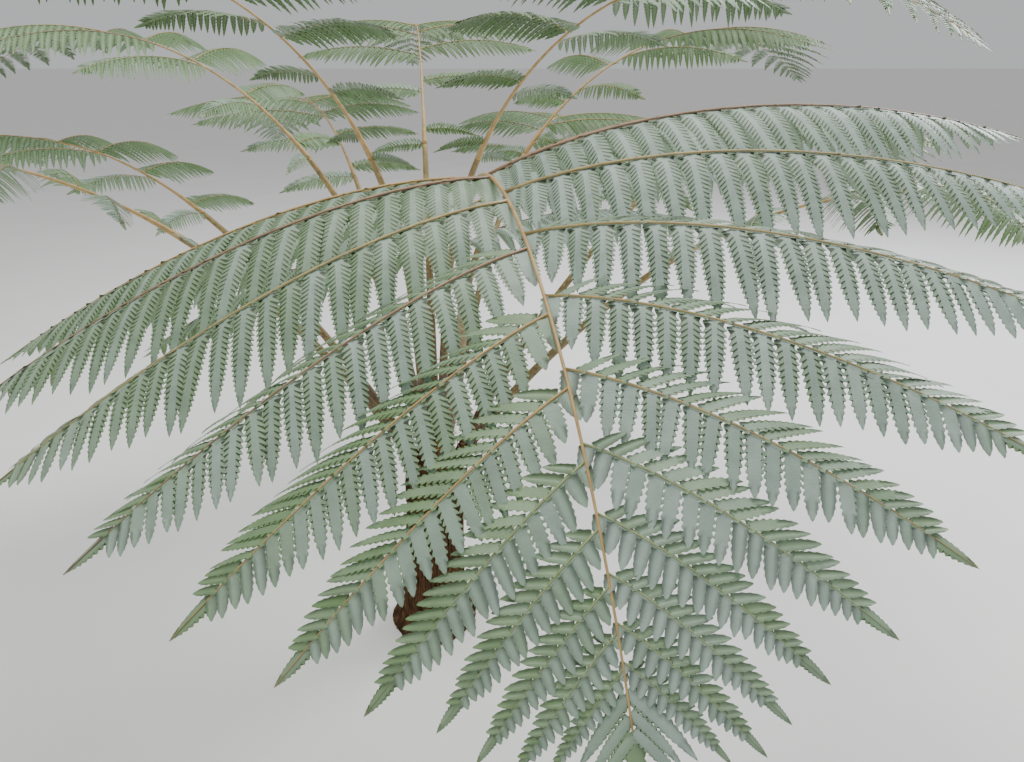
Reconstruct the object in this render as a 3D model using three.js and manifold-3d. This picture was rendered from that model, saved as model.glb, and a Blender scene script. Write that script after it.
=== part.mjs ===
import * as THREE from "three";
import Module from "manifold-3d";

// A tree fern: a short fibrous trunk with a flared foot, and a crown of arching fronds in two tiers.
// Millimetres and degrees, +Z up. The origin is the middle of the flat cut under the trunk.

const wasm = await Module();
wasm.setup();

const UP = new THREE.Vector3(0, 0, 1);
const CLEARANCE = 0.3;
const THINNEST_FACE = 0.05;

// Trunk: heights of its rings, the radius at each, and how far the crown stands off the foot
const TRUNK_HEIGHTS = [0, 30, 75, 140, 220, 310, 400, 465, 512, 540];
const TRUNK_RADII = [120, 104, 91, 82, 77, 75, 75, 77, 69, 40];
const TRUNK_SIDES = 18;
const TRUNK_OUT_OF_ROUND = 0.05;
const TRUNK_TWIST_HEIGHT = 180;
const CROWN_X = 25;
const CROWN_Y = 10;
const LEAN_POWER = 1.6;

// Stalk and midrib of a frond: their radii, the sides and ring spacing of their tubes, and where
// the stalk, the inner blade and the outer blade part
const STIPE_RADIUS = 13;
const STIPE_END_RADIUS = 6.5;
const RIB_TIP_RADIUS = 2.6;
const STIPE_TUBE = { sides: 6, spacing: 120 };
const RIB_TUBE = { sides: 4, spacing: 70 };
const SEAT_SHARE = 0.6;
const MIDRIB_STEPS = 80;
const MIDRIB_REACH = 1.02;
const BLADE_LEAD = 30;
const SPLIT_PAST_PAIR = 0.63;
const RIB_PAST_LAST_PAIR = 4;

// Pinnae, the side branches of a frond: how their spacing shrinks toward the tip
const SPACING_RANGE = 0.44;
const SPACING_POWER = 1.52;
const SPACING_LEAST = 0.055;
const LEFT_OFFSET = 0.27;
const COSTA_STEPS = 16;
const SHORTEST_PINNA = 26;
const LEAST_ROOM_SHARE = 0.12;

// Blade of a pinna: the stations along it, its width, and how far each of its sides reaches toward
// the neighbouring pinna and sags. The near side is the one toward the frond's tip
const BLADE_STATIONS = [0.1, 0.42, 0.78];
const SHORT_STATIONS = [0.3];
const SHORT_PINNA = 240;
const BLADE_WIDEST = 100;
const BLADE_SLENDERNESS = 0.105;
const BLADE_BROADENING = 0.00018;
const BLADE_ROOT_SHARE = 0.5;
const BLADE_OPENING = 3;
const BLADE_TAPER = 3;
const RIDGE_HALF = 2.6;
const ROOT_HALF_WIDTH = 7;
const LEAST_HALF_WIDTH = 4;
const NEAR_SIDE = { share: 0.62, sag: 0.85 };
const FAR_SIDE = { share: 0.37, sag: 0.3 };
const SAG_WIDTH = 80;

// The single leaflet at a frond's tip
const TIP_LEAFLET = 34;
const TIP_ROOT_HALF_WIDTH = 3.5;
const TIP_HALF_WIDTH = 9;

// The frond that faces the viewer: it leaves the crown low, bends over a hump and hangs
const MAIN = {
  azimuth: 4.1,
  sweep: 7.8,
  hook: 14.8,
  stand: 12,
  seatRadius: 50,
  seatHeight: 512,
  rise: 41.5,
  fall: -57.6,
  bend: 1.69,
  straight: 817,
  turn: 1198,
  stipe: 1072,
  blade: 938,
  pairs: 16,
  splitAfter: 4,
  roll: 13.1,
  pinna: 500,
  base: 1.0,
  peak: 0.38,
  taper: 1.48,
  baseAngle: 87.5,
  tipAngle: 51.1,
  lift: 16.5,
  droop: 0.715,
  fore: -0.207,
  curl: 0.705,
  room: 34,
};

// The rest of the low tier arches out like it, and the high tier climbs steeply first
const LOW = {
  ...MAIN,
  sweep: 5,
  hook: 0,
  stand: 14,
  seatHeight: 500,
  rise: 46,
  fall: -56,
  bend: 1.4,
  straight: 640,
  turn: 1300,
  stipe: 860,
  blade: 980,
  pairs: 12,
  splitAfter: 3,
  roll: 0,
  pinna: 470,
  base: 0.62,
  droop: 0.62,
  fore: 0.02,
  curl: 1,
  lift: 12,
  room: 23.5,
};
const HIGH = {
  ...LOW,
  stand: 6,
  seatRadius: 30,
  seatHeight: 528,
  rise: 78,
  fall: -46,
  bend: 1.15,
  straight: 420,
  turn: 1620,
  stipe: 820,
  blade: 1080,
  pinna: 440,
  base: 0.5,
  room: 33,
};
const FRONDS = [
  MAIN,
  { ...LOW, azimuth: 62, rise: 44, roll: -5 },
  { ...LOW, azimuth: 110, rise: 48, sweep: 4 },
  { ...LOW, azimuth: 160, rise: 47, sweep: -5, turn: 1240 },
  { ...LOW, azimuth: 208, rise: 50, sweep: 3 },
  { ...LOW, azimuth: 256, rise: 45, roll: 5, sweep: -3 },
  { ...LOW, azimuth: 305, rise: 49, sweep: -4 },
  { ...HIGH, azimuth: 40, rise: 82, sweep: 4 },
  { ...HIGH, azimuth: 118, rise: 75, stand: 13, sweep: 6 },
  { ...HIGH, azimuth: 185, rise: 79 },
  { ...HIGH, azimuth: 257, rise: 75, sweep: -6 },
  { ...HIGH, azimuth: 329, rise: 84, stand: 2 },
];

const radians = THREE.MathUtils.degToRad;

// A closed surface through rings of points of one count, with a flat first end.
// The last end is flat too, or runs out to a point where an apex is given. Walls beside each other are
// split along opposite diagonals, so the two faces of a thin twisted blade stay apart
function loft(rings, apex) {
  const sides = rings[0].length;
  const points = rings.flat();
  const faces = [];
  for (let r = 0; r + 1 < rings.length; r++) {
    for (let i = 0; i < sides; i++) {
      const a = r * sides + i;
      const b = r * sides + ((i + 1) % sides);
      if (i % 2 === 0) {
        faces.push(a, b, b + sides, a, b + sides, a + sides);
      } else {
        faces.push(a, b, a + sides, b, b + sides, a + sides);
      }
    }
  }
  for (let i = 1; i + 1 < sides; i++) {
    faces.push(0, i + 1, i);
  }
  const last = (rings.length - 1) * sides;
  if (apex) {
    points.push(apex);
    for (let i = 0; i < sides; i++) {
      faces.push(last + i, last + ((i + 1) % sides), points.length - 1);
    }
  } else {
    for (let i = 1; i + 1 < sides; i++) {
      faces.push(last, last + i, last + i + 1);
    }
  }
  const geometry = new THREE.BufferGeometry().setFromPoints(points);
  geometry.setIndex(faces);
  return geometry;
}

function solidOf(geometry) {
  const triVerts = new Uint32Array(geometry.index.array);
  const vertProperties = geometry.getAttribute("position").array;
  return new wasm.Manifold(new wasm.Mesh({ numProp: 3, vertProperties, triVerts }));
}

// The outer body alone, so that a hollow sealed by joining is filled, without the sliver faces that
// joining and cutting leave
function cleaned(solid) {
  const bodies = solid.decompose();
  const outer = bodies.reduce((best, body) => (body.volume() > best.volume() ? body : best));
  return outer.asOriginal().simplify(THINNEST_FACE);
}

function geometryOf(solid) {
  const { numProp, vertProperties, triVerts } = solid.getMesh();
  const points = [];
  for (let i = 0; i < vertProperties.length; i += numProp) {
    points.push(new THREE.Vector3(vertProperties[i], vertProperties[i + 1], vertProperties[i + 2]));
  }
  const geometry = new THREE.BufferGeometry().setFromPoints(points);
  geometry.setIndex(Array.from(triVerts));
  return geometry.toNonIndexed();
}

// A ring of points round a centre, square to a direction, counted anticlockwise seen from its far end
function ringRound(centre, direction, radius, sides) {
  const across = new THREE.Vector3().crossVectors(direction, UP).normalize();
  const over = new THREE.Vector3().crossVectors(across, direction);
  const ring = [];
  for (let i = 0; i < sides; i++) {
    const angle = (-2 * Math.PI * i) / sides;
    ring.push(
      centre
        .clone()
        .addScaledVector(across, radius * Math.cos(angle))
        .addScaledVector(over, radius * Math.sin(angle)),
    );
  }
  return ring;
}

// The trunk's rings are level, so its foot is flat, and its middle line leans a little more with height
function trunkGeometry(grow) {
  const top = TRUNK_HEIGHTS.at(-1);
  const rings = TRUNK_HEIGHTS.map((height, level) => {
    const lean = (height / top) ** LEAN_POWER;
    const ring = [];
    for (let i = 0; i < TRUNK_SIDES; i++) {
      const angle = (2 * Math.PI * i) / TRUNK_SIDES;
      const bulge = 1 + TRUNK_OUT_OF_ROUND * Math.sin(3 * angle + height / TRUNK_TWIST_HEIGHT);
      const radius = TRUNK_RADII[level] * bulge + grow;
      ring.push(
        new THREE.Vector3(
          CROWN_X * lean + radius * Math.cos(angle),
          CROWN_Y * lean + radius * Math.sin(angle),
          height + (level ? grow : 0),
        ),
      );
    }
    return ring;
  });
  return loft(rings);
}

// The direction from a slope above the level and a heading that counts from -Y toward +X
function directionOf(slope, heading) {
  return new THREE.Vector3(
    Math.sin(heading) * Math.cos(slope),
    -Math.cos(heading) * Math.cos(slope),
    Math.sin(slope),
  );
}

// The midrib's middle line: its slope turns from rise to fall, and its heading swings by sweep
function midrib(frond) {
  const step = (frond.stipe + frond.blade * MIDRIB_REACH) / MIDRIB_STEPS;
  const seat = radians(frond.azimuth + SEAT_SHARE * frond.hook);
  const point = new THREE.Vector3(
    CROWN_X + frond.seatRadius * Math.sin(seat),
    CROWN_Y - frond.seatRadius * Math.cos(seat),
    frond.seatHeight,
  );
  const points = [point.clone()];
  const directions = [];
  for (let i = 0; i < MIDRIB_STEPS; i++) {
    const along = (i + 0.5) * step;
    const turned = Math.max(0, along - frond.straight) / frond.turn;
    const before = Math.max(0, 1 - along / frond.straight);
    const bent = (frond.fall - frond.rise) * turned ** frond.bend;
    const slope = radians(frond.rise + bent + frond.stand * before);
    const heading = radians(frond.azimuth + frond.sweep * turned + frond.hook * before);
    const direction = directionOf(slope, heading);
    point.addScaledVector(direction, step);
    points.push(point.clone());
    directions.push(direction);
  }
  directions.push(directions.at(-1));
  return (along) => {
    const x = THREE.MathUtils.clamp(along / step, 0, MIDRIB_STEPS);
    const i = Math.min(Math.floor(x), MIDRIB_STEPS - 1);
    return {
      point: points[i].clone().lerp(points[i + 1], x - i),
      direction: directions[i].clone().lerp(directions[i + 1], x - i).normalize(),
    };
  };
}

// The sum of the first gaps between pairs, which close up toward the tip
function gapsUpTo(frond, pair) {
  const range = SPACING_RANGE * frond.pairs;
  let sum = 0;
  for (let i = 0; i < pair; i++) {
    const share = Math.min(1, pair - i);
    sum += share * Math.max(SPACING_LEAST, Math.exp(-(((i + 0.5) / range) ** SPACING_POWER)));
  }
  return sum;
}

function pairPlace(frond, pair) {
  return frond.stipe + (frond.blade * gapsUpTo(frond, pair)) / gapsUpTo(frond, frond.pairs);
}

// A pinna's length from its place in the blade: it grows to the peak and shrinks to the tip
function pinnaLength(frond, share) {
  const climb = Math.sin((Math.min(1, share / frond.peak) * Math.PI) / 2);
  const past = Math.max(0, (share - frond.peak) / (1 - frond.peak));
  const grown = frond.base + (1 - frond.base) * climb;
  return Math.max(SHORTEST_PINNA, frond.pinna * grown * (1 - Math.min(1, past) ** frond.taper));
}

// A frond keeps to a wedge of the crown: the share of a pinna's points that stay inside it
function roomShare(frond, points, side) {
  const middle = frond.azimuth + frond.sweep / 2;
  for (let i = 1; i < points.length; i++) {
    const bearing = THREE.MathUtils.radToDeg(Math.atan2(points[i].x - CROWN_X, CROWN_Y - points[i].y));
    const off = THREE.MathUtils.euclideanModulo(side * (bearing - middle) + 180, 360) - 180;
    if (off > frond.room) {
      return Math.max(LEAST_ROOM_SHARE, (i - 1) / COSTA_STEPS);
    }
  }
  return 1;
}

// The costa, the stalk line of one pinna: it leaves the midrib sideways, arches and sags
function costa(frond, rib, pair, side) {
  const along = pairPlace(frond, pair + (side < 0 ? LEFT_OFFSET : 0));
  const share = (along - frond.stipe) / frond.blade;
  const { point: root, direction } = rib(along);
  const level = new THREE.Vector3().crossVectors(direction, UP).normalize();
  const upright = new THREE.Vector3().crossVectors(level, direction);
  const roll = radians(frond.roll);
  const across = level.clone().multiplyScalar(Math.cos(roll)).addScaledVector(upright, -Math.sin(roll));
  const normal = upright.clone().multiplyScalar(Math.cos(roll)).addScaledVector(level, Math.sin(roll));
  const lift = radians(frond.lift);
  const angle = radians(THREE.MathUtils.lerp(frond.baseAngle, frond.tipAngle, share));
  const outward = across
    .multiplyScalar(-side * Math.cos(lift))
    .addScaledVector(normal, Math.sin(lift));
  const first = direction
    .clone()
    .multiplyScalar(Math.cos(angle))
    .addScaledVector(outward, Math.sin(angle));
  const walk = (length) => {
    const points = [root.clone()];
    const directions = [];
    for (let i = 0; i < COSTA_STEPS; i++) {
      const reached = (i + 0.5) / COSTA_STEPS;
      const heading = first
        .clone()
        .addScaledVector(direction, frond.fore * reached)
        .addScaledVector(UP, -frond.droop * reached ** frond.curl)
        .normalize();
      points.push(points.at(-1).clone().addScaledVector(heading, length / COSTA_STEPS));
      directions.push(heading);
    }
    directions.push(directions.at(-1));
    return { points, directions, length, normal, side };
  };
  const full = pinnaLength(frond, share);
  return walk(full * roomShare(frond, walk(full).points, side));
}

// Half the width of a pinna's blade at a share of its length
function bladeHalfWidth(length, share) {
  const widest = Math.min(BLADE_WIDEST, BLADE_SLENDERNESS * length + BLADE_BROADENING * length ** 2);
  return widest * Math.min(1, BLADE_ROOT_SHARE + BLADE_OPENING * share) * (1 - share ** BLADE_TAPER);
}

function costaAt(line, share) {
  const x = share * COSTA_STEPS;
  const i = Math.min(Math.floor(x), COSTA_STEPS - 1);
  return {
    point: line.points[i].clone().lerp(line.points[i + 1], x - i),
    direction: line.directions[Math.min(Math.round(x), COSTA_STEPS)],
  };
}

function distanceToLine(point, line) {
  const nearest = new THREE.Vector3();
  const gaps = line.points.slice(1).map((end, i) => {
    new THREE.Line3(line.points[i], end).closestPointToPoint(point, true, nearest);
    return nearest.distanceTo(point);
  });
  return Math.min(...gaps);
}

// A pinna's solid: a thin ridged blade whose two sides sag, no wider than the gaps beside it allow
function pinnaGeometry(line, neighbours) {
  const short = line.length < SHORT_PINNA;
  const section = (share, width) => {
    const { point, direction } = costaAt(line, share);
    const free = Math.min(...neighbours.map((other) => distanceToLine(point, other)));
    const normal = line.normal.clone().addScaledVector(direction, -line.normal.dot(direction)).normalize();
    const sideways = new THREE.Vector3().crossVectors(direction, normal);
    const edge = (sign) => {
      const { share: most, sag } = sign === line.side ? NEAR_SIDE : FAR_SIDE;
      const reach = Math.max(LEAST_HALF_WIDTH, Math.min(width, most * free));
      const hang = -sag * Math.min(1, reach / SAG_WIDTH);
      const out = sideways.clone().multiplyScalar(sign).addScaledVector(UP, hang).normalize();
      return point.clone().addScaledVector(out, reach);
    };
    const top = point.clone().addScaledVector(normal, RIDGE_HALF);
    const bottom = point.clone().addScaledVector(normal, -RIDGE_HALF);
    return short ? [top, edge(1), edge(-1)] : [top, edge(1), bottom, edge(-1)];
  };
  const rings = [section(0, short ? RIDGE_HALF : ROOT_HALF_WIDTH)];
  for (const share of short ? SHORT_STATIONS : BLADE_STATIONS) {
    rings.push(section(share, bladeHalfWidth(line.length, share)));
  }
  return loft(rings, line.points.at(-1));
}

function ribRadius(frond, along) {
  if (along < frond.stipe) {
    return THREE.MathUtils.lerp(STIPE_RADIUS, STIPE_END_RADIUS, along / frond.stipe);
  }
  return THREE.MathUtils.lerp(STIPE_END_RADIUS, RIB_TIP_RADIUS, (along - frond.stipe) / frond.blade);
}

function tubeGeometry(frond, rib, from, to, { sides, spacing }) {
  const count = Math.max(2, Math.round((to - from) / spacing));
  const rings = [];
  for (let i = 0; i <= count; i++) {
    const along = from + ((to - from) * i) / count;
    const { point, direction } = rib(along);
    rings.push(ringRound(point, direction, ribRadius(frond, along), sides));
  }
  return loft(rings);
}

function tipGeometry(frond, rib) {
  const { point, direction } = rib(pairPlace(frond, frond.pairs - 1));
  const across = new THREE.Vector3().crossVectors(direction, UP).normalize();
  const normal = new THREE.Vector3().crossVectors(across, direction);
  const section = (along, width) => {
    const middle = point.clone().addScaledVector(direction, along);
    return [
      middle.clone().addScaledVector(normal, RIDGE_HALF),
      middle.clone().addScaledVector(across, width),
      middle.clone().addScaledVector(normal, -RIDGE_HALF),
      middle.clone().addScaledVector(across, -width),
    ];
  };
  const apex = point.clone().addScaledVector(direction, TIP_LEAFLET);
  return loft([section(0, TIP_ROOT_HALF_WIDTH), section(TIP_LEAFLET / 3, TIP_HALF_WIDTH)], apex);
}

// A stretch of blade: the midrib between two places, and the pinnae of some pairs, joined into one
// solid. The costae come as one row for each side
function bladeSolid(frond, rib, costae, [from, to], [firstPair, endPair]) {
  let solid = solidOf(tubeGeometry(frond, rib, from, to, RIB_TUBE));
  for (const row of costae) {
    for (let pair = firstPair; pair < endPair; pair++) {
      const neighbours = [row[pair - 1], row[pair + 1]].filter(Boolean);
      solid = solid.add(solidOf(pinnaGeometry(row[pair], neighbours)));
    }
  }
  if (endPair === frond.pairs) {
    solid = solid.add(solidOf(tipGeometry(frond, rib)));
  }
  return cleaned(solid);
}

const BARK = new THREE.MeshStandardMaterial({ color: "#4a3b2c", roughness: 0.95 });
const STALK = new THREE.MeshStandardMaterial({ color: "#8a7a45", roughness: 0.6 });
const LEAF = new THREE.MeshStandardMaterial({ color: "#7f9a80", roughness: 0.5 });

function named(name, solid, material) {
  const mesh = new THREE.Mesh(geometryOf(solid), material);
  mesh.name = name;
  return mesh;
}

const fern = new THREE.Group();
fern.add(named("trunk", solidOf(trunkGeometry(0)), BARK));
const trunkWithClearance = solidOf(trunkGeometry(CLEARANCE));

FRONDS.forEach((frond, index) => {
  const label = "frond_" + String(index + 1).padStart(2, "0");
  const rib = midrib(frond);
  const pairs = Array.from({ length: frond.pairs }, (_, pair) => pair);
  const costae = [1, -1].map((side) => pairs.map((pair) => costa(frond, rib, pair, side)));
  const outerPair = frond.splitAfter + 1;
  const start = frond.stipe - BLADE_LEAD;
  const split = pairPlace(frond, frond.splitAfter + SPLIT_PAST_PAIR);
  const end = pairPlace(frond, frond.pairs - 1) + RIB_PAST_LAST_PAIR;
  const stalk = solidOf(tubeGeometry(frond, rib, 0, start - CLEARANCE, STIPE_TUBE));
  const inner = bladeSolid(frond, rib, costae, [start, split - CLEARANCE], [0, outerPair]);
  const outer = bladeSolid(frond, rib, costae, [split, end], [outerPair, frond.pairs]);
  fern.add(named(label + "_stipe", cleaned(stalk.subtract(trunkWithClearance)), STALK));
  fern.add(named(label + "_inner", inner, LEAF));
  fern.add(named(label + "_outer", outer, LEAF));
});

export default fern;
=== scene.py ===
import functools
import math

import bpy
import numpy as np
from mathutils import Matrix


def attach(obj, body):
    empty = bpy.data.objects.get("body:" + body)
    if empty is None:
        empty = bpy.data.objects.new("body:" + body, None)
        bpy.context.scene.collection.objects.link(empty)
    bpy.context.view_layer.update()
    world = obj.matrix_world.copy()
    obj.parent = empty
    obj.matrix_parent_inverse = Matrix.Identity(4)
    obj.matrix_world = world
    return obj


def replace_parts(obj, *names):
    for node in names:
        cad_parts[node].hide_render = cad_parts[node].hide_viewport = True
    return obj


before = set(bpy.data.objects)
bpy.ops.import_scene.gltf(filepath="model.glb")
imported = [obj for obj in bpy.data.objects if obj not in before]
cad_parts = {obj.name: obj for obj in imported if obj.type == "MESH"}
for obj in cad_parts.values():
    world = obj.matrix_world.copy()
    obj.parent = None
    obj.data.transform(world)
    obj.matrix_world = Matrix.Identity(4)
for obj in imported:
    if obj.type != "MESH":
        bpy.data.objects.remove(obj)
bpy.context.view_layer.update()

# A tree fern: each frond is carried down to its lobed leaflets, over a trunk matted with rootlets.
# Metres and degrees, +Z up. The origin is the middle of the flat cut under the trunk.

UP = np.array([0.0, 0.0, 1.0])
FULL_TURN = 2 * math.pi

# Trunk: the solid's rings and lean
TRUNK_HEIGHTS = [0, 0.030, 0.075, 0.140, 0.220, 0.310, 0.400, 0.465, 0.512, 0.540]
TRUNK_RADII = [0.120, 0.104, 0.091, 0.082, 0.077, 0.075, 0.075, 0.077, 0.069, 0.040]
TRUNK_OUT_OF_ROUND = 0.05
TRUNK_TWIST_HEIGHT = 0.180
CROWN = np.array([0.025, 0.010, 0.0])
LEAN_POWER = 1.6

# Bark: furrows that drift as they climb, fading out at the foot and the top
TRUNK_SEED = 40
BARK_SIDES = 144
BARK_LEVELS = 150
BARK_INSET = 0.002
FURROW_SETS = 26
FURROWS_AROUND = (7, 46)
FURROW_DRIFT = 42
FURROW_DEPTH = 0.0016
FULL_DEPTH_FURROWS = 10
FURROW_POWER = 0.4
FADE_AT_FOOT = 0.01
FADE_AT_TOP = 0.02
ANY_ANGLE = (0, 6.28)

# Oval scars of shed fronds, in a spiral: a raised rim round a hollow
SCARS = 34
SCAR_TURN = 137.5
SCAR_LOWEST = 0.10
SCAR_RISE = 0.0118
SCAR_WIDTH = 0.014
SCAR_HEIGHT = 0.020
SCAR_DEPTH = 0.0045
SCAR_RIM = 0.22
SCAR_HOLLOW = 0.75
SCARRED_RADIUS = 0.076

# Rootlets that mat the trunk: where they start, how far they run down and how they stand out
ROOTLETS = 520
ROOTLET_TOPS = (0.05, 0.40)
ROOTLET_LOWERING = (0.4, 1)
ROOTLET_LENGTHS = (0.08, 0.26)
ROOTLET_LOWEST = 0.002
ROOTLET_RADII = (0.0009, 0.0020)
ROOTLET_SIDES = 4
ROOTLET_STEP = 0.016
ROOTLET_FEWEST = 5
ROOTLET_WANDER = 0.018
ROOTLET_LIFT = 0.0015
ROOTLET_ARCH = 0.0022
ROOTLET_ARCHES = (0.3, 1)

# Papery scales on the stalks' feet: their size and how they lean along and away from the stalk
SCALES_SEED = 41
SCALES_PER_STALK = 170
SCALED_LENGTH = 0.15
SCALE_CROWDING = 1.5
SCALE_SEAT = 0.95
SCALE_LENGTHS = (0.014, 0.034)
SCALE_HALF_WIDTHS = (0.0006, 0.0013)
SCALE_LEANS = (0.5, 1.2)
SCALE_SPREADS = (0.2, 0.7)
SCALE_UNEVENNESS = 0.25
SCALE_MIDDLE = 0.55
SCALE_BULGE = 0.002
SCALE_SAGS = (0, 0.010)

# Stalk and midrib of a frond
STIPE_RADIUS = 0.013
STIPE_END_RADIUS = 0.0065
STIPE_FOOT = 0.06
STIPE_FOOT_SWELL = 1.25
STIPE_STEPS = 110
STIPE_SIDES = 14
RIB_SHARES = [0, 0.10, 0.30, 0.60, 1]
RIB_RADII = [0.0065, 0.0037, 0.0025, 0.0015, 0.0006]
RIB_STEPS = 90
RIB_SIDES = 8
SEAT_SHARE = 0.6
MIDRIB_STEPS = 80
MIDRIB_REACH = 1.02

# Pinnae, the side branches of a frond: their spacing, length and room
PAIRS = 16
SPACING_RANGE = 0.44
SPACING_POWER = 1.52
SPACING_LEAST = 0.055
LEFT_OFFSET = 0.27
COSTA_STEPS = 16
COSTA_SIDES = 4
COSTA_RADIUS = 0.0018
COSTA_POWER = 0.8
COSTA_THINNING = 0.75
LONG_PINNA = 0.5
GROWN_PINNA = 0.4
SHORTEST_PINNA = 0.034
LEAST_ROOM_SHARE = 0.12
TIP_FULLNESS = 0.35
TIP_FULLER_FROM = 0.90
TIP_FULLER_OVER = 0.05

# Reach of a pinna's leaflets to each side of its costa
BLADE_WIDEST = 0.100
BLADE_SLENDERNESS = 0.105
BLADE_BROADENING = 0.18
BLADE_ROOT_SHARE = 0.5
BLADE_OPENING = 3
BLADE_TAPER = (1.8, 3.2)
TAPER_LENGTHS = (0.1, LONG_PINNA)
SHORT_FULLNESS = 0.28
FULL_PINNA = 0.45

# A frond's midrib starts at seat_radius and seat_height toward azimuth, counted from the front to
# the right. It climbs at the slope rise for the length straight. Then it bends by the power bend,
# and after the length turn it slopes at fall and has swung round by sweep. At its foot it is steeper
# by stand and turned aside by hook, which fade out over straight. stipe is the length of its bare
# part, blade that of its leafy part, and roll tilts it to one side.
# The longest pinna has the length pinna. base is the first one's share of it, peak the longest one's
# place and taper the power of the shortening past it. Pinnae leave at base_angle to tip_angle, and
# lift, droop and fore raise, lower and lead them, with curl as the power of the sag along them. They
# keep to room degrees on each side. lobe is a leaflet's length for each lobe, and shade its darkening

# The frond that faces the viewer: it leaves the crown low, bends over a hump and hangs
MAIN = dict(
    azimuth=4.1, sweep=7.8, hook=14.8, stand=12, seat_radius=0.050, seat_height=0.512,
    rise=41.5, fall=-57.6, bend=1.69, straight=0.817, turn=1.198, stipe=1.072, blade=0.938,
    roll=13.1, pinna=0.500, base=1.0, peak=0.38, taper=1.48, base_angle=87.5, tip_angle=51.1,
    lift=16.5, droop=0.715, fore=-0.207, curl=0.705, room=34, lobe=0.0040, shade=0, seed=1,
)

# The rest of the low tier arches out like it, and the high tier climbs steeply first
LOW = dict(
    MAIN, sweep=5, hook=0, stand=14, seat_height=0.500, rise=46, fall=-56, bend=1.4,
    straight=0.640, turn=1.300, stipe=0.860, blade=0.980, roll=0, pinna=0.470, base=0.62,
    droop=0.62, fore=0.02, curl=1, lift=12, room=23.5, lobe=0.0095, shade=1.2,
)
HIGH = dict(
    LOW, stand=6, seat_radius=0.030, seat_height=0.528, rise=78, fall=-46, bend=1.15,
    straight=0.420, turn=1.620, stipe=0.820, blade=1.080, pinna=0.440, base=0.5, room=33,
    shade=1.7,
)
FRONDS = [
    MAIN,
    dict(LOW, azimuth=62, rise=44, roll=-5, seed=2),
    dict(LOW, azimuth=110, rise=48, sweep=4, seed=3),
    dict(LOW, azimuth=160, rise=47, sweep=-5, turn=1.240, seed=4),
    dict(LOW, azimuth=208, rise=50, sweep=3, seed=5),
    dict(LOW, azimuth=256, rise=45, roll=5, sweep=-3, seed=6),
    dict(LOW, azimuth=305, rise=49, sweep=-4, seed=7),
    dict(HIGH, azimuth=40, rise=82, sweep=4, seed=8),
    dict(HIGH, azimuth=118, rise=75, stand=13, sweep=6, seed=9),
    dict(HIGH, azimuth=185, rise=79, seed=10),
    dict(HIGH, azimuth=257, rise=75, sweep=-6, seed=11),
    dict(HIGH, azimuth=329, rise=84, stand=2, seed=12),
]

# Leaflets: their spacing along a pinna and how they hang. The near side is toward the frond's tip
LEAFLET_SPACING = 0.003
LEAFLET_SPACING_SHARE = 0.040
SPACING_SHRINK = 0.62

# angle is a leaflet's angle to its costa, hang and curl are how much and how early it bends down,
# and cup is how much its edges do. first is the first one's place and wide a half width, both in
# spacings. wing is the joining strip's share of the reach, twist a turn and reach a leaflet's length
NEAR_SIDE = dict(angle=74, hang=1.25, curl=0.55, cup=0.20, first=0.35, wide=0.50, wing=0.45,
                 twist=0, reach=1)
FAR_SIDE = dict(angle=57, hang=0.95, curl=0.65, cup=0.16, first=0.75, wide=0.43, wing=0.15,
                twist=0.24, reach=0.92)
LEAN_TO_TIP = 18
SHORT_WIDENING = 0.05
SHORT_LENGTH = 0.06
HANG_LENGTH = 0.075
HANG_POWER = 1.3
LEAFLET_STEPS = 6

# How much leaflets vary at random: their angle, twist, length and hang
ANGLE_SPREAD = 2.5
TWIST_SPREAD = 0.08
LENGTH_RANGE = (0.94, 1.05)
HANG_RANGE = (0.88, 1.12)

# A leaflet's outline: lobes on feet of their own, each ending in three points (share, width)
LOBES_END = 0.96
LOBE_ARC = ((0.07, 0.78), (0.36, 1.0), (0.63, 0.94))
LOBE_FOOT = 0.78
LOBE_SLANT = 0.65
FINE_LOBE = 0.006
SLIT_REACH = 0.74
SLIT_SHIFT = 0.12
UNCUT_FOOT = 0.07
CUT_POWER = 3
FOOT_NARROWING = 0.08
FOOT_OPENING = 0.9
LONG_END = (2.6, 0.85)
BLUNT_END = (5, 0.7)
KEEL = 0.08
CUP_POWER = 1.6

# Leaflets from short to long: how many lobes, how deep they are cut and how blunt the end is
SHORT_LEAFLET = 0.018
LEAFLET_RANGE = 0.036
TINY_LEAFLET = 0.016
TINY_LOBES = 3
FEWEST_LOBES = 4
MOST_LOBES = 20
SHORT_CUT = 0.08
CUT_RANGE = 0.76
SHALLOW_CUT = 0.35
DRAWN_FROM = 0.5
BLUNT_DRAWN = 0.6

# A pinna too short for leaflets, the undivided end of a longer one, and the leaflet at the tip.
# half_share is a half width as a share of the length. An end begins at the share start, and by the
# share later nearer the tip on a grown pinna, and it is no wider than reach lets it be
SIMPLE_PINNA = 0.058
SIMPLE = dict(lobes=12, cut=0.4, half_share=0.105, tint_share=0.7)
END = dict(lobes=9, cut=0.45, start=0.82, later=0.11, overlap=0.02, reach=0.8, half_share=0.15,
           tint_share=1)
TIP = dict(lobes=8, cut=0.3, length=0.034, half=0.006, cup=0.3, tint=4)
BLADE_END_STEPS = 6
BLADE_END_CUP = 0.45

# The strip that joins leaflets' feet
WING_STEPS = 16
WING_FIRST = 0.03
WING_START = 0.15
WING_LATER = 0.5
WING_LEAST = 0.0016
WING_HANG = 0.2
WING_TINT_SHARE = 0.8


def unit(v):
    """Vectors brought to length one."""
    return v / np.linalg.norm(v, axis=-1, keepdims=True)


def direction_of(slope, heading):
    """The direction at a slope above level and a heading counted from the front to the right."""
    return np.array([
        math.sin(heading) * math.cos(slope), -math.cos(heading) * math.cos(slope), math.sin(slope),
    ])


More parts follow.
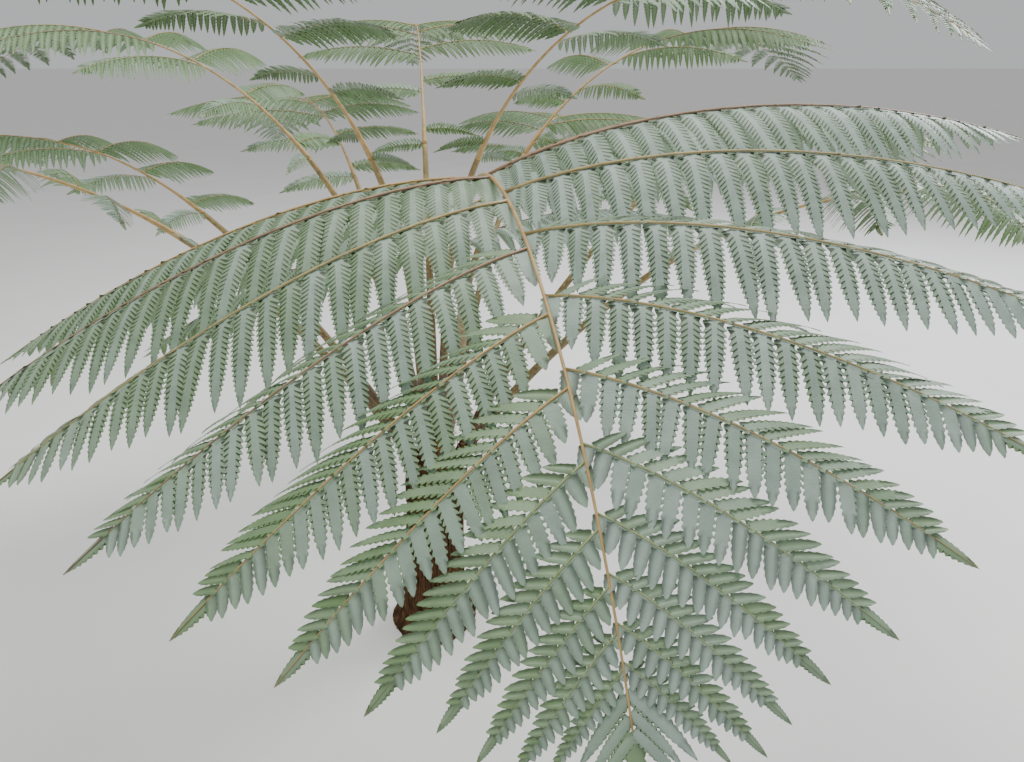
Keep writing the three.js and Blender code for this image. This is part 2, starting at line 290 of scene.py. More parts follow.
def blend_rows(rows, x):
    """Rows of a table at fractional row numbers x."""
    i = np.minimum(np.floor(x).astype(int), len(rows) - 2)
    f = (x - i)[..., None]
    return rows[i] * (1 - f) + rows[i + 1] * f


def midrib(frond):
    """The midrib's middle line as a function of the length along it."""
    step = (frond["stipe"] + frond["blade"] * MIDRIB_REACH) / MIDRIB_STEPS
    seat = math.radians(frond["azimuth"] + SEAT_SHARE * frond["hook"])
    start = CROWN + frond["seat_radius"] * direction_of(0, seat) + frond["seat_height"] * UP
    directions = []
    for i in range(MIDRIB_STEPS):
        along = (i + 0.5) * step
        turned = max(0, along - frond["straight"]) / frond["turn"]
        before = max(0, 1 - along / frond["straight"])
        bent = (frond["fall"] - frond["rise"]) * turned ** frond["bend"]
        slope = math.radians(frond["rise"] + bent + frond["stand"] * before)
        heading = math.radians(frond["azimuth"] + frond["sweep"] * turned + frond["hook"] * before)
        directions.append(direction_of(slope, heading))
    directions = np.array(directions)
    points = np.vstack([start, start + np.cumsum(directions, axis=0) * step])
    directions = np.vstack([directions, directions[-1]])

    def at(along):
        x = np.clip(np.asarray(along, float) / step, 0, MIDRIB_STEPS)
        return blend_rows(points, x), unit(blend_rows(directions, x))

    return at


def rib_radius(frond, along):
    """The midrib's radius: an even taper up the stalk, then a quick one along the blade."""
    stalk = np.interp(along, [0, STIPE_FOOT, frond["stipe"]],
                      [STIPE_FOOT_SWELL * STIPE_RADIUS, STIPE_RADIUS, STIPE_END_RADIUS])
    share = np.clip((along - frond["stipe"]) / frond["blade"], 0, 1)
    return np.where(along < frond["stipe"], stalk, np.interp(share, RIB_SHARES, RIB_RADII))


def gaps_up_to(pair):
    """The sum of the first gaps between pairs, which close up toward the tip."""
    total = 0
    for i in range(math.ceil(pair)):
        gap = math.exp(-(((i + 0.5) / (SPACING_RANGE * PAIRS)) ** SPACING_POWER))
        total += min(1, pair - i) * max(SPACING_LEAST, gap)
    return total


def pair_place(frond, pair):
    """How far along the midrib a pair of pinnae stands, or a place between two pairs."""
    return frond["stipe"] + frond["blade"] * gaps_up_to(pair) / gaps_up_to(PAIRS)


def pinna_length(frond, share):
    """A pinna's full length at a share of the blade: longest at the peak, fuller near the tip."""
    climb = math.sin(min(1, share / frond["peak"]) * math.pi / 2)
    past = min(1, max(0, (share - frond["peak"]) / (1 - frond["peak"])))
    grown = frond["base"] + (1 - frond["base"]) * climb
    length = frond["pinna"] * grown * (1 - past ** frond["taper"])
    fuller = min(1, max(0, share - TIP_FULLER_FROM) / TIP_FULLER_OVER)
    return max(SHORTEST_PINNA, length * (1 + TIP_FULLNESS * fuller))


def room_share(frond, points, side):
    """A frond keeps to a wedge of the crown: the share of a pinna's points that stay inside it."""
    middle = frond["azimuth"] + frond["sweep"] / 2
    for i, point in enumerate(points[1:], 1):
        bearing = math.degrees(math.atan2(point[0] - CROWN[0], CROWN[1] - point[1]))
        off = (side * (bearing - middle) + 180) % 360 - 180
        if off > frond["room"]:
            return max(LEAST_ROOM_SHARE, (i - 1) / COSTA_STEPS)
    return 1


def costa(frond, rib, pair, side):
    """The stalk line of one pinna: it leaves the midrib sideways, arches and sags."""
    along = pair_place(frond, pair + (LEFT_OFFSET if side < 0 else 0))
    share = (along - frond["stipe"]) / frond["blade"]
    root, direction = rib(along)
    level = unit(np.cross(direction, UP))
    upright = np.cross(level, direction)
    roll = math.radians(frond["roll"])
    across = level * math.cos(roll) - upright * math.sin(roll)
    normal = upright * math.cos(roll) + level * math.sin(roll)
    lift = math.radians(frond["lift"])
    angle = math.radians(frond["base_angle"] + (frond["tip_angle"] - frond["base_angle"]) * share)
    outward = -side * math.cos(lift) * across + math.sin(lift) * normal
    first = math.cos(angle) * direction + math.sin(angle) * outward
    reached = (np.arange(COSTA_STEPS)[:, None] + 0.5) / COSTA_STEPS
    headings = unit(first + direction * frond["fore"] * reached
                    - UP * frond["droop"] * reached ** frond["curl"])
    full = pinna_length(frond, share)

    def walk(length):
        return np.vstack([root, root + np.cumsum(headings, axis=0) * length / COSTA_STEPS])

    length = full * room_share(frond, walk(full), side)
    return dict(
        points=walk(length), directions=np.vstack([headings, headings[-1]]),
        length=length, normal=normal, side=side, share=share,
    )


class Heap:
    """Gathers triangles for one joined mesh, each with a place in its list of materials."""

    def __init__(self):
        self.points, self.faces, self.tints = [], [], []
        self.count = 0

    def add(self, points, faces, tint):
        """Adds triangles in one tint, or in a list of tints with one for each."""
        self.points.append(points)
        self.faces.append(faces + self.count)
        self.tints.append(np.full(len(faces), tint) if np.isscalar(tint) else tint)
        self.count += len(points)

    def made(self, name, materials):
        """One object of all the triangles, with smooth shading."""
        mesh = bpy.data.meshes.new(name)
        points = np.concatenate(self.points)
        faces = np.concatenate(self.faces)
        mesh.from_pydata(points.tolist(), [], faces.tolist())
        for material in materials:
            mesh.materials.append(material)
        mesh.polygons.foreach_set("material_index", np.concatenate(self.tints).astype(np.int32))
        mesh.shade_smooth()
        piece = bpy.data.objects.new(name, mesh)
        bpy.context.scene.collection.objects.link(piece)
        return piece


def add_piece(heap, name, materials, slot, *nodes):
    """A heap as a piece of the plant, and the nodes that it stands for. Its slot is not used."""
    piece = heap.made(name, materials)
    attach(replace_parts(piece, *nodes), "root")


def ring_faces(count, sides):
    """Triangles between rings of points that follow each other in one list."""
    i = np.arange(count - 1)[:, None] * sides
    k = np.arange(sides)[None, :]
    a, b = i + k, i + (k + 1) % sides
    quads = np.stack([a, b, b + sides, a + sides], axis=-1).reshape(-1, 4)
    return np.stack([quads[:, [0, 1, 2]], quads[:, [0, 2, 3]]], axis=1).reshape(-1, 3)


def tube(points, radii, sides, upright=UP):
    """Points and triangles of a round tube with closed ends along a line."""
    points = np.asarray(points)
    radii = np.broadcast_to(radii, len(points))[:, None]
    along = unit(np.gradient(points, axis=0))
    across = unit(np.cross(along, upright))
    over = np.cross(across, along)
    rings = []
    for k in range(sides):
        angle = FULL_TURN * k / sides
        rings.append(points + radii * (math.cos(angle) * across + math.sin(angle) * over))
    last = (len(points) - 1) * sides
    caps = []
    for j in range(1, sides - 1):
        caps.append([0, j + 1, j])
        caps.append([last, last + j, last + j + 1])
    verts = np.stack(rings, axis=1).reshape(-1, 3)
    return verts, np.vstack([ring_faces(len(points), sides), caps])


# Which part of a leaflet a face belongs to. An edge's face, the half of a lobe toward the leaflet's
# foot, is tinted with painted shade. A slit's face joins two lobes, a dark sheet of painted shade in
# the gap between them
LOBE, CORE, SHADED_EDGE, SHADED_SLIT = 0, 1, 2, 3


@functools.cache
def leaflet_outline(lobes, cut, drawn, fine):
    """A leaflet's flat outline: shares along and across, the uncut share, faces and their parts.

    cut is how deep its edge is divided, drawn how far its end is drawn out to a point, and a fine
    outline has slits of even width where a coarse one has notches.
    """
    along, across, core = [], [], []
    faces, parts = [], []
    # Deep-cut leaflets get painted shade on each lobe's foot-side half and a dark painted shade in the
    # slits; shallow ones get only a lighter painted shade in the slits
    rim, slit = (SHADED_EDGE, SHADED_SLIT) if cut > SHALLOW_CUT else (LOBE, SHADED_EDGE)

    def half_width(t):
        long_end, blunt_end = ((1 - t**steep) ** full for steep, full in (LONG_END, BLUNT_END))
        foot = 1 - FOOT_NARROWING * drawn
        return min(1, foot + FOOT_OPENING * t) * (drawn * long_end + (1 - drawn) * blunt_end)

    def vertex(t, u, c):
        along.append(t)
        across.append(u)
        core.append(c)
        return len(along) - 1

    stations = []
    for k in range(lobes + 1):
        t = LOBES_END * k / lobes
        c = half_width(t) * (1 - cut * min(1, t / UNCUT_FOOT) * (1 - t**CUT_POWER))
        stations.append((vertex(t, 0, 0), vertex(t, c, c), vertex(t, -c, c)))
    for side in (1, -1):
        edge = 1 if side > 0 else 2
        before = None
        for k in range(lobes):
            here, there = stations[k], stations[k + 1]
            a, b = here[edge], there[edge]
            foot_end = b
            if fine:
                t, c = (x[a] + LOBE_FOOT * (x[b] - x[a]) for x in (along, across))
                foot_end = vertex(t, c, abs(c))
            outer = []
            for shift, width in LOBE_ARC:
                t = LOBES_END * (k + shift) / lobes
                outer.append(vertex(t, side * width * half_width(t), abs(across[a])))
            fans = [
                (CORE, here[0], there[0], b), (CORE, here[0], b, a), (LOBE, a, foot_end, outer[2]),
                (LOBE, a, outer[2], outer[1]), (rim, a, outer[1], outer[0]),
            ]
            if before and fine:
                reach = max(SLIT_REACH * half_width(along[a]), abs(across[a]))
                middle = vertex(along[a] - SLIT_SHIFT / lobes, side * reach, abs(across[a]))
                fans += [(slit, a, middle, before[0]), (slit, a, outer[0], middle),
                         (slit, before[0], middle, before[1])]
            elif before:
                fans.append((slit, a, outer[0], before[1]))
            before = (foot_end, outer[2])
            for part, *fan in fans:
                faces.append(fan if side > 0 else fan[::-1])
                parts.append(part)
    tip = vertex(1, 0, 0)
    middle, right, left = stations[-1]
    faces += [(middle, tip, right), (middle, left, tip)]
    parts += [LOBE, LOBE]
    return tuple(np.array(x) for x in (along, across, core, faces, parts))


def outline_for(length, lobe):
    """The outline that suits a leaflet's length: long ones are cut deep, short ones are blunt."""
    size = min(1, max(0, (length - SHORT_LEAFLET) / LEAFLET_RANGE))
    lobes = int(min(MOST_LOBES, max(FEWEST_LOBES, round(length / lobe))))
    if length < TINY_LEAFLET:
        lobes = TINY_LOBES
    cut = round(SHORT_CUT + CUT_RANGE * size, 1)
    drawn = 1 if size > DRAWN_FROM else BLUNT_DRAWN
    return leaflet_outline(lobes, cut, drawn, lobe < FINE_LOBE)


def spread_outline(outline, line, headings, across, length, half, cup):
    """An outline laid along a line of points, with its edges cupped down."""
    t, u, core, faces, parts = outline
    side = unit(across - headings * np.sum(headings * across, axis=1, keepdims=True))
    normal = np.cross(headings, side)
    leaning = np.clip(t + LOBE_SLANT * (np.abs(u) - core) * half / length, 0, 1)
    x = leaning * (len(line) - 1)
    wide = u[:, None] * half
    drop = (cup * np.abs(u) ** CUP_POWER + KEEL * (u == 0))[:, None] * half
    points = blend_rows(line, x) + blend_rows(side, x) * wide - blend_rows(normal, x) * drop
    return points, faces, parts


def leaflet(root, heading, across, hang, curl, length, half, cup, lobe):
    """One leaflet that leaves its costa along heading and bends down under its weight."""
    t = (np.arange(LEAFLET_STEPS)[:, None] + 0.5) / LEAFLET_STEPS
    steps = unit(heading - UP * hang * t**curl)
    line = np.vstack([root, root + np.cumsum(steps, axis=0) * length / LEAFLET_STEPS])
    headings = np.vstack([steps[:1], (steps[1:] + steps[:-1]) / 2, steps[-1:]])
    return spread_outline(outline_for(length, lobe), line, unit(headings), across, length, half, cup)


def reach_at(length, share):
    """How far a pinna's leaflets reach from its costa at a share of its length."""
    widest = min(BLADE_WIDEST, BLADE_SLENDERNESS * length + BLADE_BROADENING * length**2)
    fuller = 1 + SHORT_FULLNESS * (1 - min(1, length / FULL_PINNA))
    opening = min(1, BLADE_ROOT_SHARE + BLADE_OPENING * share)
    taper = np.interp(length, TAPER_LENGTHS, BLADE_TAPER)
    return widest * fuller * opening * (1 - share**taper)


# Leaf tints as shown colours, palest first. Near sides carry a grey bloom, partly a painted sheen of
# sky reflection, and far sides are greener. The last, darkest tint is painted shade, only for the
# slits between lobes
LEAF_TINTS = [
    (160, 179, 166),
    (142, 162, 149),
    (128, 151, 127),
    (116, 141, 105),
    (100, 130, 82),
    (86, 118, 60),
    (70, 102, 42),
    (34, 55, 24),
]
HALF_TINTS = blend_rows(np.array(LEAF_TINTS, float), np.arange(0, len(LEAF_TINTS) - 0.5, 0.5))
MIDDLE_TINT = 2.3
TINT_SPREAD = 0.22
FAR_GREENER = 1.6
END_GREENER = 1.1
END_GREENER_POWER = 6

# How much greener than its leaflet a lobe, a core and an edge are. The edge's large shift is painted
# shade
PART_SHIFTS = (0.2, -0.8, 2.8)

# Painted sheen of the light from the right and behind, on a frond's right and left side: how pale at
# its tip, and how much more at its foot
RIGHT_SHEEN = (0.7, 0.4)
LEFT_SHEEN = (0.1, -0.6)
SHEEN_SPREAD = 0.12

# Ribs: the chances of each tint on the right and left. Past a share of the frond they are green
RIB_TINTS = [(182, 150, 96), (168, 150, 98), (150, 120, 92), (142, 152, 104)]
RIGHT_RIB_CHANCES = [0.15, 0.35, 0.5]
LEFT_RIB_CHANCES = [0.35, 0.5, 0.15]
GREEN_RIB = 3
GREEN_RIBS_FROM = 0.82

# Stalks: dark at the foot, straw above, and how quickly the one turns into the other
STALK_TINTS = [(60, 43, 30), (90, 74, 46), (120, 104, 62), (150, 128, 82)]
STALK_FOOT = -0.3
STALK_RISE = 3.4
STALK_POWER = 0.7
STALK_SPREAD = 0.3


def leaf_tint(rng, near, share, pale):
    """The tint's place in the list: greener on the far side, toward the pinna's end and at random."""
    level = MIDDLE_TINT + (0 if near else FAR_GREENER) + END_GREENER * share**END_GREENER_POWER
    return level - pale + rng.normal(0, TINT_SPREAD)


def part_tints(level, parts):
    """The tint of each face: its core is paler, and painted shade makes its lobes' foot-side halves
    greener and its slits dark.
    """
    darkest = len(HALF_TINTS) - 1
    lobe, core, edge = (
        int(np.clip(round(2 * (level + shift)), 0, darkest - 2)) for shift in PART_SHIFTS)
    return np.array([lobe, core, edge, darkest])[parts]


def leaflet_frame(line, share, sign, angle):
    """Where a leaflet leaves a costa: the place, the costa's direction, its normal and the heading."""
    x = np.array([share * COSTA_STEPS])
    root = blend_rows(line["points"], x)[0]
    along = unit(blend_rows(line["directions"], x)[0])
    normal = unit(line["normal"] - along * (line["normal"] @ along))
    heading = math.cos(angle) * along + math.sin(angle) * sign * np.cross(along, normal)
    return root, along, normal, heading


def add_end_blade(line, start, half, leaves, level, kind):
    """The undivided end of a pinna, or a whole short one: a toothed blade along its costa."""
    x = np.linspace(start * COSTA_STEPS, COSTA_STEPS, BLADE_END_STEPS + 1)
    points, headings = blend_rows(line["points"], x), unit(blend_rows(line["directions"], x))
    across = -np.cross(headings, line["normal"])
    length = line["length"] * (1 - start)
    outline = leaflet_outline(kind["lobes"], kind["cut"], drawn=1.0, fine=False)
    points, faces, parts = spread_outline(
        outline, points, headings, across, length, half, BLADE_END_CUP)
    leaves.add(points, faces, part_tints(level, parts))


def add_wing(line, sign, habit, end, leaves, level):
    """The strip that joins the leaflets' feet along the outer part of a pinna."""
    length = line["length"]
    start = WING_START + WING_LATER * min(1, length / GROWN_PINNA)
    inner, outer = [], []
    for share in np.linspace(WING_FIRST, end, WING_STEPS):
        angle = math.radians(habit["angle"] - LEAN_TO_TIP * share)
        root, _, _, heading = leaflet_frame(line, share, sign, angle)
        width = reach_at(length, share) * habit["wing"] * max(0, share - start) / (1 - start)
        inner.append(root)
        outer.append(root + unit(heading - UP * WING_HANG * habit["hang"]) * max(WING_LEAST, width))
    i = np.arange(WING_STEPS - 1)
    faces = np.vstack([
        np.stack([i, i + 1, i + 1 + WING_STEPS], axis=1),
        np.stack([i, i + 1 + WING_STEPS, i + WING_STEPS], axis=1),
    ])
    if sign != 1:
        faces = faces[:, ::-1]
    leaves.add(np.vstack([inner, outer]), faces, part_tints(level, np.full(len(faces), CORE)))


def add_leaflets(frond, line, near, spacing, end, leaves, rng, pale):
    """The row of leaflets along one side of a pinna, closer and smaller toward its end."""
    habit = NEAR_SIDE if near else FAR_SIDE
    sign = line["side"] if near else -line["side"]
    length = line["length"]
    add_wing(line, sign, habit, end, leaves, leaf_tint(rng, near, WING_TINT_SHARE, pale))
    share = habit["first"] * spacing / length
    while share < end:
        here = spacing * (1 - SPACING_SHRINK * share**2)
        angle = math.radians(habit["angle"] - LEAN_TO_TIP * share + rng.normal(0, ANGLE_SPREAD))
        root, along, normal, heading = leaflet_frame(line, share, sign, angle)
        size = habit["reach"] * reach_at(length, share) / math.sin(angle) * rng.uniform(*LENGTH_RANGE)
        loose = min(1, size / HANG_LENGTH) ** HANG_POWER * rng.uniform(*HANG_RANGE)
        twist = habit["twist"] * math.sqrt(max(0, 1 - normal[2] ** 2))
        across = sign * (along + (twist + rng.normal(0, TWIST_SPREAD)) * normal)
        half = here * (habit["wide"] + SHORT_WIDENING * (1 - min(1, size / SHORT_LENGTH)))
        points, faces, parts = leaflet(
            root, heading, across, habit["hang"] * loose, habit["curl"], size, half,
            habit["cup"] * min(1, size / HANG_LENGTH), frond["lobe"])
        leaves.add(points, faces, part_tints(leaf_tint(rng, near, share, pale), parts))
        share += here / length


def add_pinna(frond, line, leaves, ribs, rng, rib_tint):
    """One side branch: its costa, its undivided end and its two rows of leaflets."""
    length = line["length"]
    # pale is the painted sheen of the light from the right and behind, less the frond's darkening
    at_tip, at_foot = RIGHT_SHEEN if line["side"] > 0 else LEFT_SHEEN
    pale = at_tip + at_foot * (1 - line["share"]) + rng.normal(0, SHEEN_SPREAD) - frond["shade"]
    if length < SIMPLE_PINNA:
        level = leaf_tint(rng, True, SIMPLE["tint_share"], pale)
        add_end_blade(line, 0, SIMPLE["half_share"] * length, leaves, level, SIMPLE)
        return
    thinning = 1 - COSTA_THINNING * np.linspace(0, 1, COSTA_STEPS + 1)
    radii = COSTA_RADIUS * (length / LONG_PINNA) ** COSTA_POWER * thinning
    ribs.add(*tube(line["points"], radii, COSTA_SIDES, line["normal"]), rib_tint)
    end = END["start"] + END["later"] * min(1, length / GROWN_PINNA)
    half = min(END["reach"] * reach_at(length, end),
               END["half_share"] * length * (1 + END["overlap"] - end))
    level = leaf_tint(rng, True, END["tint_share"], pale)
    add_end_blade(line, end - END["overlap"], half, leaves, level, END)
    spacing = LEAFLET_SPACING + LEAFLET_SPACING_SHARE * length
    for near in (True, False):
        add_leaflets(frond, line, near, spacing, end, leaves, rng, pale)


def add_tip_leaflet(rib, place, leaves):
    """The one leaflet that ends the frond, in line with its midrib."""
    start, heading = rib(place)
    count = BLADE_END_STEPS + 1
    points = start + np.linspace(0, 1, count)[:, None] * heading * TIP["length"]
    across = -unit(np.cross(heading, UP))
    outline = leaflet_outline(TIP["lobes"], TIP["cut"], drawn=1.0, fine=False)
    points, faces, parts = spread_outline(
        outline, points, np.tile(heading, (count, 1)), across, TIP["length"], TIP["half"], TIP["cup"])
    leaves.add(points, faces, part_tints(TIP["tint"], parts))


def add_leafy_side(frond, rib, blade_end, side, label, ribs, rng):
    """All pinnae to one side of a frond: their leaflets as one piece, their ribs gathered."""
    leaves = Heap()
    for pair in range(PAIRS):
        line = costa(frond, rib, pair, side)
        chances = RIGHT_RIB_CHANCES if side > 0 else LEFT_RIB_CHANCES
        choice = int(rng.choice(len(chances), p=chances))
        rib_tint = GREEN_RIB if line["share"] > GREEN_RIBS_FROM else choice
        add_pinna(frond, line, leaves, ribs, rng, rib_tint)
    if side > 0:
        add_tip_leaflet(rib, blade_end, leaves)
    name = label + ("_leaflets_right" if side > 0 else "_leaflets_left")
    add_piece(leaves, name, LEAF_MATERIALS, "leaf", label + "_inner", label + "_outer")


def add_stalk(frond, rib, label, rng):
    """The bare stalk below the blade, in flecks that turn from dark to straw as it climbs."""
    along = np.linspace(0, frond["stipe"], STIPE_STEPS)
    points, faces = tube(rib(along)[0], rib_radius(frond, along), STIPE_SIDES)
    reached = np.clip(faces[:, 0] / len(points), 0, 1)
    level = STALK_FOOT + STALK_RISE * reached**STALK_POWER + rng.normal(0, STALK_SPREAD, len(faces))
    stalk = Heap()
    stalk.add(points, faces, np.clip(np.round(level), 0, len(STALK_TINTS) - 1).astype(int))
    add_piece(stalk, label + "_stalk", STALK_MATERIALS, "stalk", label + "_stipe")


def add_frond(number, frond):
    """One frond in four pieces: leaflets to the right and the left, ribs and stalk."""
    rng = np.random.default_rng(frond["seed"])
    label = "frond_%02d" % number
    rib = midrib(frond)
    blade_end = pair_place(frond, PAIRS - 1)
    ribs = Heap()
    for side in (1, -1):
        add_leafy_side(frond, rib, blade_end, side, label, ribs, rng)
    along = np.linspace(frond["stipe"], blade_end, RIB_STEPS)
    ribs.add(*tube(rib(along)[0], rib_radius(frond, along), RIB_SIDES), 0)
    add_piece(ribs, label + "_ribs", RIB_MATERIALS, "stalk", label + "_inner", label + "_outer")
    add_stalk(frond, rib, label, rng)


# The part of a noise's range in which its colour turns from dark to light, and a bump's height
NOISE_BAND = (0.3, 0.7)
BUMP_HEIGHT = 0.001


def linear(shown):
    """A shown colour, 0 to 255, as the linear colour that shaders take."""
    c = np.minimum(1, np.array(shown) / 255)
    return (*np.where(c <= 0.04045, c / 12.92, ((c + 0.055) / 1.055) ** 2.4), 1.0)


def surface(name, colour, spread, scale, roughness, bump=0.0, bump_scale=300, stretch=(1, 1, 1),
            specular=0.5, sheen=0.0):
    """A material whose colour varies by a share, spread, in an even, fine noise."""
    material = bpy.data.materials.new(name)
    material.use_nodes = True
    nodes, links = material.node_tree.nodes, material.node_tree.links
    shader = nodes["Principled BSDF"]
    place = nodes.new("ShaderNodeTexCoord")
    mapping = nodes.new("ShaderNodeMapping")
    mapping.inputs["Scale"].default_value = stretch
    links.new(place.outputs["Object"], mapping.inputs["Vector"])
    noise = nodes.new("ShaderNodeTexNoise")
    noise.inputs["Scale"].default_value = scale
    noise.inputs["Detail"].default_value = 4
    links.new(mapping.outputs["Vector"], noise.inputs["Vector"])
    ramp = nodes.new("ShaderNodeValToRGB")
    dark, light = ramp.color_ramp.elements
    dark.position, light.position = NOISE_BAND
    dark.color = linear([c * (1 - spread) for c in colour])
    light.color = linear([c * (1 + spread) for c in colour])
    links.new(noise.outputs["Fac"], ramp.inputs["Fac"])
    links.new(ramp.outputs["Color"], shader.inputs["Base Color"])
    shader.inputs["Roughness"].default_value = roughness
    shader.inputs["Specular IOR Level"].default_value = specular
    shader.inputs["Sheen Weight"].default_value = sheen
    if bump:
        relief = nodes.new("ShaderNodeBump")
        relief.inputs["Strength"].default_value = bump
        relief.inputs["Distance"].default_value = BUMP_HEIGHT
        grain = nodes.new("ShaderNodeTexNoise")
        grain.inputs["Scale"].default_value = bump_scale
        links.new(mapping.outputs["Vector"], grain.inputs["Vector"])
        links.new(grain.outputs["Fac"], relief.inputs["Height"])
        links.new(relief.outputs["Normal"], shader.inputs["Normal"])
    return material


LEAF_MATERIALS = [
    surface("leaf_%d" % i, colour, spread=0.06, scale=90, roughness=0.44, bump=0.25, bump_scale=900,
            sheen=0.12)
    for i, colour in enumerate(HALF_TINTS, 1)
]
RIB_MATERIALS = [
    surface("rib_%d" % i, colour, spread=0.10, scale=60, roughness=0.42, bump=0.3, bump_scale=700)
    for i, colour in enumerate(RIB_TINTS, 1)
]
STALK_MATERIALS = [
    surface("stalk_%d" % i, colour, spread=0.14, scale=45, roughness=0.5, bump=0.5, bump_scale=350)
    for i, colour in enumerate(STALK_TINTS, 1)
]
BARK_MATERIAL = surface("bark", (66, 48, 32), spread=0.35, scale=50, roughness=0.9, bump=0.8,
                        bump_scale=260, stretch=(1, 1, 0.3), specular=0.2)
ROOTLET_MATERIAL = surface("rootlet", (84, 60, 40), spread=0.32, scale=40, roughness=0.85, bump=0.5,
                           bump_scale=500, specular=0.2)
SCALE_MATERIAL = surface("scale", (146, 112, 66), spread=0.2, scale=80, roughness=0.6, specular=0.3)


def trunk_surface(angle, height, out=0.0):
    """Points on the trunk's surface, or out from it."""
    lean = (height / TRUNK_HEIGHTS[-1]) ** LEAN_POWER
    bulge = 1 + TRUNK_OUT_OF_ROUND * np.sin(3 * angle + height / TRUNK_TWIST_HEIGHT)
    radius = np.interp(height, TRUNK_HEIGHTS, TRUNK_RADII) * bulge + out
    return np.stack([
        CROWN[0] * lean + radius * np.cos(angle), CROWN[1] * lean + radius * np.sin(angle), height,
    ], axis=-1)


def bark_relief(rng, angle, height):
    """How far the bark stands out: furrows all round, and worn oval scars with raised rims."""
    out = np.zeros((BARK_LEVELS, BARK_SIDES))
    for _ in range(FURROW_SETS):
        furrows = rng.integers(*FURROWS_AROUND)
        drift = rng.uniform(-FURROW_DRIFT, FURROW_DRIFT)
        depth = FURROW_DEPTH * (FULL_DEPTH_FURROWS / furrows) ** FURROW_POWER
        out += depth * np.sin(furrows * angle + drift * height + rng.uniform(*ANY_ANGLE))
    for k in range(SCARS):
        middle = k * math.radians(SCAR_TURN)
        level = SCAR_LOWEST + SCAR_RISE * k
        away = (angle - middle + math.pi) % FULL_TURN - math.pi
        far = np.hypot(away * SCARRED_RADIUS / SCAR_WIDTH, (height - level) / SCAR_HEIGHT)
        rim = np.exp(-((far - 1.0) / SCAR_RIM) ** 2)
        hollow = np.exp(-((far / SCAR_HOLLOW) ** 4))
        out += SCAR_DEPTH * (rim - hollow)
    above, below = height / FADE_AT_FOOT, (TRUNK_HEIGHTS[-1] - height) / FADE_AT_TOP
    return out * (np.clip(above, 0, 1) * np.clip(below, 0, 1))


def add_bark(rng):
    """The trunk's skin as rings of points, closed by a fan at each end."""
    angle = np.linspace(0, FULL_TURN, BARK_SIDES, endpoint=False)[None, :]
    height = np.linspace(0, TRUNK_HEIGHTS[-1], BARK_LEVELS)[:, None]
    out = bark_relief(rng, angle, height) - BARK_INSET
    points = trunk_surface(angle, height + 0 * angle, out).reshape(-1, 3)
    ends = [points[:BARK_SIDES].mean(axis=0), points[-BARK_SIDES:].mean(axis=0)]
    foot, top = len(points), len(points) + 1
    k = np.arange(BARK_SIDES)
    after = (k + 1) % BARK_SIDES
    first = (BARK_LEVELS - 1) * BARK_SIDES
    faces = np.vstack([
        ring_faces(BARK_LEVELS, BARK_SIDES),
        np.stack([after, k, np.full(BARK_SIDES, foot)], axis=1),
        np.stack([first + k, first + after, np.full(BARK_SIDES, top)], axis=1),
    ])
    bark = Heap()
    bark.add(np.vstack([points, ends]), faces, 0)
    add_piece(bark, "trunk_bark", [BARK_MATERIAL], "bark", "trunk")


def add_rootlets(rng):
    """Strands that wander down over the bark and thicken the trunk's foot."""
    strands = Heap()
    for _ in range(ROOTLETS):
        start = rng.uniform(*ROOTLET_TOPS) * math.sqrt(rng.uniform(*ROOTLET_LOWERING))
        end = max(ROOTLET_LOWEST, start - rng.uniform(*ROOTLET_LENGTHS))
        count = max(ROOTLET_FEWEST, int((start - end) / ROOTLET_STEP))
        levels_down = np.linspace(start, end, count)
        wander = np.cumsum(rng.normal(0, ROOTLET_WANDER, count)) + rng.uniform(*ANY_ANGLE)
        arch = ROOTLET_ARCH * np.sin(np.linspace(0, math.pi, count)) * rng.uniform(*ROOTLET_ARCHES)
        line = trunk_surface(wander, levels_down, ROOTLET_LIFT + arch)
        outward = unit(line[0] * [1, 1, 0])
        strands.add(*tube(line, rng.uniform(*ROOTLET_RADII), ROOTLET_SIDES, outward), 0)
    add_piece(strands, "trunk_rootlets", [ROOTLET_MATERIAL], "bark", "trunk")


def add_scales(rng):
    """Slender papery scales over the stalks' feet and the crown's middle."""
    scales = Heap()
    faces = np.array([(0, 1, 2), (0, 2, 3), (3, 2, 4)])
    for frond in FRONDS:
        rib = midrib(frond)
        for _ in range(SCALES_PER_STALK):
            along = SCALED_LENGTH * rng.random() ** SCALE_CROWDING
            point, heading = rib(along)
            side = unit(np.cross(heading, rng.normal(size=3)))
            root = point + side * rib_radius(frond, along) * SCALE_SEAT
            length = rng.uniform(*SCALE_LENGTHS)
            way = unit(heading * rng.uniform(*SCALE_LEANS) + side * rng.uniform(*SCALE_SPREADS)
                       + SCALE_UNEVENNESS * rng.normal(size=3))
            wide = unit(np.cross(way, side)) * rng.uniform(*SCALE_HALF_WIDTHS)
            middle = root + way * length * SCALE_MIDDLE + side * SCALE_BULGE
            tip = root + way * length - UP * rng.uniform(*SCALE_SAGS)
            corners = [root - wide, root + wide, middle + wide, middle - wide, tip]
            scales.add(np.array(corners), faces, 0)
    add_piece(scales, "crown_scales", [SCALE_MATERIAL], "stalk", "trunk")


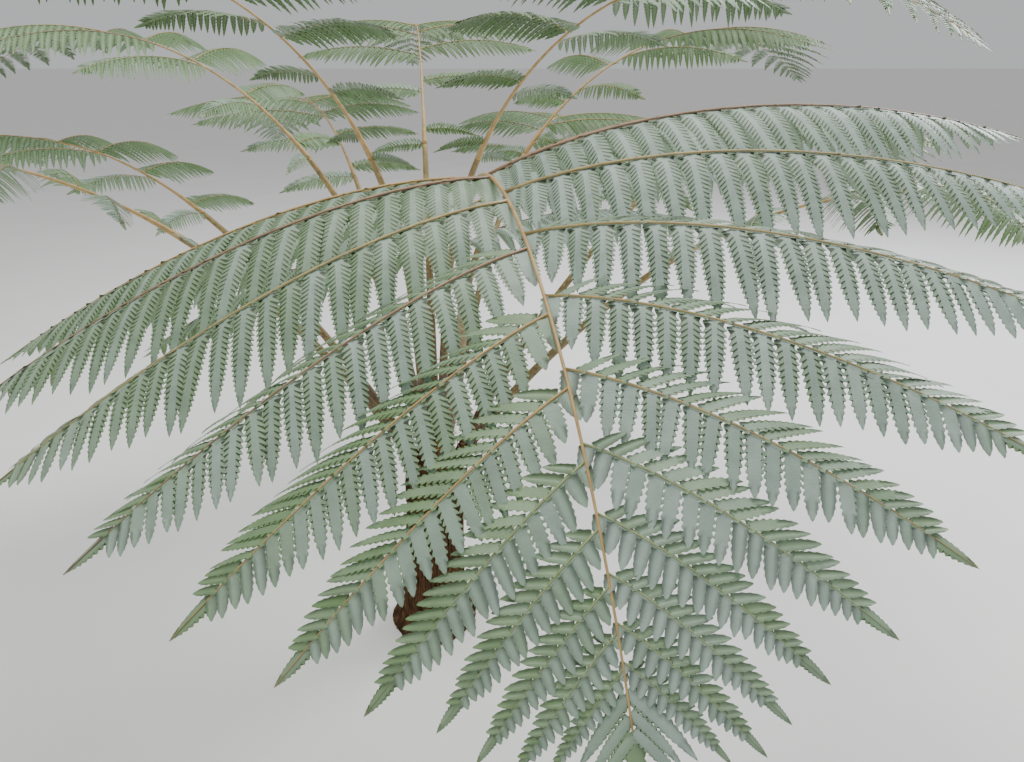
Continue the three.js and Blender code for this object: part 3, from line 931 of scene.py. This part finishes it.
# Stage: a pale floor, an even sky and three soft lights (name, place, size, watts, colour)
FLOOR_SIZE = 300
FLOOR_COLOUR = (238, 237, 234)
SKY_COLOUR = (0.91, 0.93, 0.94, 1)
SKY_STRENGTH = 0.58
LIGHTS = (
    ("light_over", (0.3, 0.2, 6.5), 4.0, 290, (1.0, 0.99, 0.97)),
    ("light_right", (4.8, 3.4, 4.8), 3.5, 400, (0.92, 0.95, 1.0)),
    ("light_front", (-1.8, -5.0, 3.2), 3.0, 40, (1.0, 0.99, 0.97)),
)
LIGHTS_AIM = np.array([0.1, -0.6, 0.9])

# The photograph's camera: its place, how far it looks down, its lens and its sensor's width
CAMERA_PLACE = (0.229, -1.881, 1.516)
CAMERA_DOWN = 22.2
CAMERA_LENS = 27.7
CAMERA_SENSOR = 36
CAMERA_NEAREST = 0.02


def add_light(name, place, size, power, colour):
    """A square soft light that is turned to the plant."""
    lamp = bpy.data.lights.new(name, "AREA")
    lamp.size = size
    lamp.energy = power
    lamp.color = colour
    light = bpy.data.objects.new(name, lamp)
    light.location = place
    aim = LIGHTS_AIM - np.array(place)
    pitch = math.atan2(math.hypot(aim[0], aim[1]), -aim[2])
    light.rotation_euler = (pitch, 0, math.atan2(-aim[0], aim[1]))
    bpy.context.scene.collection.objects.link(light)


def add_camera():
    """The photograph's camera, which looks along +Y and down."""
    lens = bpy.data.cameras.new("camera")
    lens.sensor_width = CAMERA_SENSOR
    lens.lens = CAMERA_LENS
    lens.clip_start = CAMERA_NEAREST
    camera = bpy.data.objects.new("camera", lens)
    camera.location = CAMERA_PLACE
    camera.rotation_euler = (math.radians(90 - CAMERA_DOWN), 0, 0)
    bpy.context.scene.collection.objects.link(camera)
    bpy.context.scene.camera = camera


def add_stage():
    """A pale floor, soft light from above and the side, and the photograph's camera."""
    bpy.ops.mesh.primitive_plane_add(size=FLOOR_SIZE, location=(0, 0, 0))
    floor = bpy.context.object
    floor.name = "floor"
    floor.data.materials.append(
        surface("floor", FLOOR_COLOUR, spread=0.01, scale=2, roughness=0.8, specular=0.2))
    world = bpy.data.worlds.new("sky")
    world.use_nodes = True
    bpy.context.scene.world = world
    background = world.node_tree.nodes["Background"]
    background.inputs["Color"].default_value = SKY_COLOUR
    background.inputs["Strength"].default_value = SKY_STRENGTH
    for light in LIGHTS:
        add_light(*light)
    add_camera()


add_stage()
trunk_rng = np.random.default_rng(TRUNK_SEED)
add_bark(trunk_rng)
add_rootlets(trunk_rng)
add_scales(np.random.default_rng(SCALES_SEED))
for number, frond in enumerate(FRONDS, 1):
    add_frond(number, frond)
